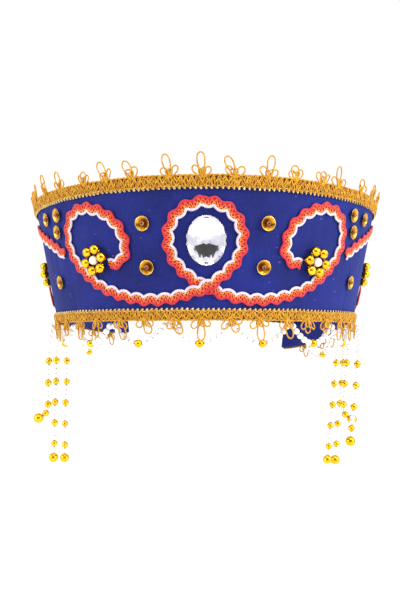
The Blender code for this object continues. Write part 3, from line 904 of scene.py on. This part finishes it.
def buildFlowers():
    pearlCentres, pearlAxes = [], []
    for name, (angle, height, turn, cadName) in flowers.items():
        rng = np.random.default_rng(len(name) + int(height * 10))
        place = np.radians(60 * np.arange(6) + turn)
        origin, alongs, upwards, outwards = bandSeats([angle], [height], band["gap"] + flowerMake["petal"])
        ring = flowerMake["ring"] + rng.uniform(-0.12, 0.12, 6)
        x, y = (ring * np.cos(place))[:, None], (ring * np.sin(place))[:, None]
        centres = origin + alongs * x + upwards * y + outwards * rng.uniform(0.0, 0.25, (6, 1))
        axes = alongs * -np.sin(place)[:, None] + upwards * np.cos(place)[:, None]
        shells = [beads(centres, axes, flowerMake["petal"], 0.5, 24, 15)]
        makePiece(f"flowerGold_{name}", shells, finishes["gold"], [f"flower_{cadName}"])
        closed = np.vstack([centres, centres[:1]])
        round8 = np.array([np.interp(np.linspace(0, 6, 61), np.arange(7), closed[:, k]) for k in range(3)]).T
        makePiece(
            f"flowerThread_{name}",
            [cord(round8[None], np.broadcast_to(outwards, (1, 61, 3)), 0.4, 0.4, 5)],
            finishes["thread"],
        )
        pearlCentres.append(bandPoint(angle, height, band["gap"] + flowerMake["pearl"] + 0.5))
        pearlAxes.append(alongs[0])
    makePiece(
        "flowerPearls",
        [beads(np.array(pearlCentres), pearlAxes, flowerMake["pearl"], 0.4, 24, 15)],
        finishes["pearl"],
        [f"flower_pearl_{row[3]}" for row in flowers.values()],
    )


buildFlowers()


# cup sequins, each held by an amber seed bead
sequinPlaces = [
    # angle, height in mm, on one side
    (18.2, 47.9),
    (17.7, 26.2),
    (51.9, 57.4),
    (60.2, 57.0),
    (53.2, 48.6),
    (57.4, 21.8),
    (114.0, 47.0),
    (116.0, 22.0),
]
cup = {"rim": 3.75, "depth": 1.5, "film": 0.16}


def buildSequins():
    rim, depth, film = cup["rim"], cup["depth"], cup["film"]
    share = np.linspace(0.14, 1.0, 9)
    inside = film + (depth - film) * np.clip((share - 0.3) / 0.7, 0, 1) ** 1.5
    profile = [(rim * s, z) for s, z in zip(share, inside)]
    profile += [(rim * s, z - film) for s, z in zip(share[::-1], inside[::-1])]
    # tone grows toward the rim; the finish reads it to paint shade down in the cup and a lighter rim
    tone = np.concatenate([share**1.5, share[::-1] ** 1.5])
    for side, label in ((-1, "left"), (1, "right")):
        table = np.array(sequinPlaces) * (side, 1)
        seats = bandSeats(table[:, 0], table[:, 1], band["gap"])
        names = [f"sequin_{label}_{number}" for number in range(1, 9)]
        makePiece(f"sequins_{label}", [turned(profile, seats, 24, tone, 8, 0.012)], finishes["sequin"], names)
        origin, alongs, upwards, outwards = seats
        tilt = np.random.default_rng(5 + side).uniform(-0.25, 0.25, (8, 2))
        axes = unit(outwards + alongs * tilt[:, :1] + upwards * tilt[:, 1:])
        seeds = beads(origin + outwards * 1.35, axes, 1.3, 0.42, 16, 9, 0.85)
        makePiece(f"seedBeads_{label}", [seeds], finishes["amber"])


buildSequins()


# garland: swags of pearls, with a gold bead at each low point, on nylon thread
garlands = {
    # CAD name: first angle, angle between points, swags, sag in mm
    "garland_front": (-76.0, 21.2, 7, 11.4),
    "garland_back_left": (-128.0, 21.2, 1, 15.0),
    "garland_back_right": (106.8, 21.2, 1, 12.0),
}
garlandMake = {"radius": 89.2, "tube": 1.5, "pearl": 1.72, "gold": 2.15, "perHalf": 5}


def buildGarlands():
    pearls, pearlAxes, golds, goldAxes, threads = [], [], [], [], []
    for first, span, swags, sag in garlands.values():
        for swag in range(swags):
            share = np.linspace(0, 1, 49)
            angle = first + (swag + share) * span
            # a parabola: depth = sag 4 s (1 - s) under the braid's edge
            depth = band["gap"] + 0.5 * garlandMake["tube"] + sag * 4 * share * (1 - share)
            turn = np.radians(angle)
            radius = garlandMake["radius"] + wander(share * 3, swag + 3, 0.2)
            line = np.stack([radius * np.sin(turn), -radius * np.cos(turn), -depth - rimDrop(angle)], -1)
            half = distances(line)[-1] / 2
            steps = garlandMake["gold"] + garlandMake["pearl"] * (1 + 2.04 * np.arange(garlandMake["perHalf"]))
            centres, axes = along(line, np.concatenate([half - steps[::-1], half + steps]))
            pearls.append(centres)
            pearlAxes.append(axes)
            centres, axes = along(line, np.array([half]))
            golds.append(centres)
            goldAxes.append(axes)
            threads.append(cord(line[None], bandOut(angle)[None], 0.28, 0.28, 5))
    shell1 = beads(np.vstack(pearls), np.vstack(pearlAxes), garlandMake["pearl"], 0.35, 14, 8)
    shell2 = beads(np.vstack(golds), np.vstack(goldAxes), garlandMake["gold"], 0.45, 20, 13)
    makePiece("garlandPearls", [shell1], finishes["pearl"], list(garlands))
    makePiece("garlandGold", [shell2], finishes["gold"])
    makePiece("garlandThread", threads, finishes["thread"])


buildGarlands()


# strands: pearls and gold beads that hang from the lower edge, with a large gold bead at the end
strands = {
    # CAD name: angle, radius at the top and below in mm, lean towards +X per mm down,
    # first gold bead, gold beads, their spacing and the end bead's depth in mm, swing of the end in mm
    "strand_left_1": (-78.0, 94.4, 96.6, 0.0, 23.2, 3, 13.0, 57.5, -5.8),
    "strand_left_2": (-88.4, 89.3, 92.6, -0.03, 23.2, 5, 13.0, 84.0, 0.0),
    "strand_left_3": (-98.6, 89.3, 90.4, -0.02, 23.6, 5, 13.6, 86.5, 0.0),
    "strand_right_1": (78.0, 94.4, 96.0, -0.09, 25.0, 4, 12.9, 71.5, 0.0),
    "strand_right_2": (84.4, 89.3, 89.6, -0.08, 24.6, 3, 12.9, 59.5, 5.8),
    "strand_right_3": (90.8, 89.3, 89.4, -0.09, 24.8, 5, 12.8, 86.0, 0.0),
    "strand_right_4": (101.0, 89.3, 89.2, -0.09, 24.0, 5, 13.6, 87.0, 0.0),
}
strandMake = {"pearl": 1.5, "gold": 2.08, "end": 3.0, "splay": 14.0}


def buildStrands():
    pearls, pearlAxes, golds, goldAxes, ends, endAxes, threads = [], [], [], [], [], [], []
    for angle, topRadius, lowRadius, leanX, first, count, spacing, endDepth, swing in strands.values():
        depth = np.linspace(0.3, endDepth, 90)
        share = np.minimum(depth / strandMake["splay"], 1)
        radius = topRadius + (lowRadius - topRadius) * share
        turn = np.radians(angle)
        hang = np.clip((depth - endDepth + 6) / 6, 0, 1) ** 2 * swing
        line = np.stack(
            [
                radius * np.sin(turn) + leanX * depth + hang + wander(depth / 6, int(angle) % 50, 0.25),
                -radius * np.cos(turn) + wander(depth / 6, int(angle) % 37, 0.3),
                -depth - rimDrop(angle),
            ],
            -1,
        )
        run = distances(line)
        goldPlaces = np.interp(first + spacing * np.arange(count), depth, run)
        endPlace = run[-1]
        if swing:
            goldPlaces = np.append(goldPlaces, endPlace - strandMake["end"] - strandMake["gold"] - 0.1)
        stops = np.concatenate([[-strandMake["gold"] + 0.6], goldPlaces, [endPlace]])
        for number, (start, stop) in enumerate(zip(stops[:-1], stops[1:])):
            beginning = start + strandMake["gold"]
            room = stop - (strandMake["end"] if number == len(stops) - 2 else strandMake["gold"]) - beginning
            fit = int(room / (2 * strandMake["pearl"]) + 0.08)
            places = beginning + (np.arange(fit) + 0.5) * room / max(fit, 1)
            centres, axes = along(line, places)
            pearls.append(centres)
            pearlAxes.append(axes)
        for kept, keptAxes, places in ((golds, goldAxes, goldPlaces), (ends, endAxes, np.array([endPlace]))):
            centres, axes = along(line, places)
            kept.append(centres)
            keptAxes.append(axes)
        threads.append(cord(line[None], np.broadcast_to(bandOut(angle), (1, 90, 3)), 0.28, 0.28, 5))
    gold1 = beads(np.vstack(golds), np.vstack(goldAxes), strandMake["gold"], 0.45, 20, 13)
    gold2 = beads(np.vstack(ends), np.vstack(endAxes), strandMake["end"], 0.5, 28, 17)
    pearl = beads(np.vstack(pearls), np.vstack(pearlAxes), strandMake["pearl"], 0.35, 12, 7)
    makePiece("strandGold", [gold1, gold2], finishes["gold"], list(strands))
    makePiece("strandPearls", [pearl], finishes["pearl"])
    makePiece("strandThread", threads, finishes["thread"])


buildStrands()


# back elastic: plain, stitched inside the band's ends
elasticMake = {"lap": 11.0, "low": 18.0, "high": 30.0, "thick": 1.4}


def buildElastic():
    start = band["end"] - elasticMake["lap"]
    angles = np.linspace(start, 360 - start, 141)
    share = np.clip((angles - band["end"]) / (360 - 2 * band["end"]), 0, 1)
    drop = np.where(
        angles <= band["end"],
        rimDrop(angles),
        np.where(angles >= 360 - band["end"], rimDrop(angles - 360), band["dropRight"] + (band["dropLeft"] - band["dropRight"]) * share),
    )
    rows = np.linspace(elasticMake["low"], elasticMake["high"], 13)
    half = elasticMake["thick"] / 2
    heights = np.concatenate([rows, [rows[-1]], rows[::-1], [rows[0]]])
    outs = np.concatenate([np.full(13, -1.0), [0.0], np.full(13, 1.0), [0.0]])
    radius = band["radius"] + band["flare"] * heights[None] - band["wall"] - band["gap"] - half - 0.2
    free = np.clip((angles - band["end"] + 4) / 12, 0, 1) * np.clip((360 - band["end"] + 4 - angles) / 12, 0, 1)
    radius = radius + free[:, None] * 0.35 * np.sin(angles * 2.1)[:, None] + outs[None] * half
    edge = 0.35 * free * np.sin(angles * 2.1 + 1)
    turn = np.radians(angles)[:, None]
    points = np.stack([radius * np.sin(turn), -radius * np.cos(turn), heights[None] - (drop + edge)[:, None]], -1)
    makePiece("backElastic", [shell(points[None])], finishes["elastic"], ["back_elastic"])


buildElastic()


# studio: a pale floor under an even white sky, two soft boxes, and a dark card only mirrors can see
studio = {
    "floorHeight": -0.32,
    "floorRadius": 5.0,
    "sky": 1.06,
    "boxes": [
        # name, place, size in metres, watts
        ("boxRight", (1.05, -0.55, 0.45), 0.8, 13.0),
        ("boxLeft", (-1.1, -0.5, 0.35), 0.7, 7.0),
        ("boxTop", (0.1, -0.6, 1.1), 0.7, 6.0),
    ],
}


def buildStudio():
    ring = np.arange(64) / 64 * turnRound
    radius = studio["floorRadius"]
    mesh = bpy.data.meshes.new("studioFloor")
    points = np.stack([radius * np.cos(ring), radius * np.sin(ring), np.full(64, studio["floorHeight"])], -1)
    mesh.from_pydata(points.tolist(), [], [list(range(64))])
    floor = bpy.data.objects.new("studioFloor", mesh)
    material, tree, shader = newFinish("paleFloor", {"Roughness": 0.9, "Base Color": linear("#fbfbfb")})
    mesh.materials.append(material)
    card = bpy.data.objects.new("darkCard", bpy.data.meshes.new("darkCard"))
    card.data.from_pydata([(-0.42, -0.8, -0.08), (0.42, -0.8, -0.08), (0.42, -0.8, 0.26), (-0.42, -0.8, 0.26)], [], [(0, 1, 2, 3)])
    material, tree, shader = newFinish("blackVelvet", {"Roughness": 1.0, "Base Color": linear("#141210")})
    card.data.materials.append(material)
    card.visible_camera = card.visible_diffuse = card.visible_shadow = False
    for obj in (floor, card):
        bpy.context.scene.collection.objects.link(obj)
    for name, place, size, watts in studio["boxes"]:
        light = bpy.data.lights.new(name, "AREA")
        light.size, light.energy = size, watts
        box = bpy.data.objects.new(name, light)
        box.location = place
        away = np.array(place) - (0, 0, 0.03)
        flatWay = np.hypot(away[0], away[1])
        box.rotation_euler = (np.arctan2(flatWay, away[2]), 0, np.arctan2(away[0], -away[1]))
        box.visible_camera = False
        bpy.context.scene.collection.objects.link(box)
    world = bpy.data.worlds.new("whiteTent")
    bpy.context.scene.world = world
    world.use_nodes = True
    sky = world.node_tree.nodes["Background"]
    sky.inputs["Color"].default_value = (1, 1, 1, 1)
    sky.inputs["Strength"].default_value = studio["sky"]
    bpy.context.scene.view_settings.view_transform = "Standard"


buildStudio()
print("studio set")
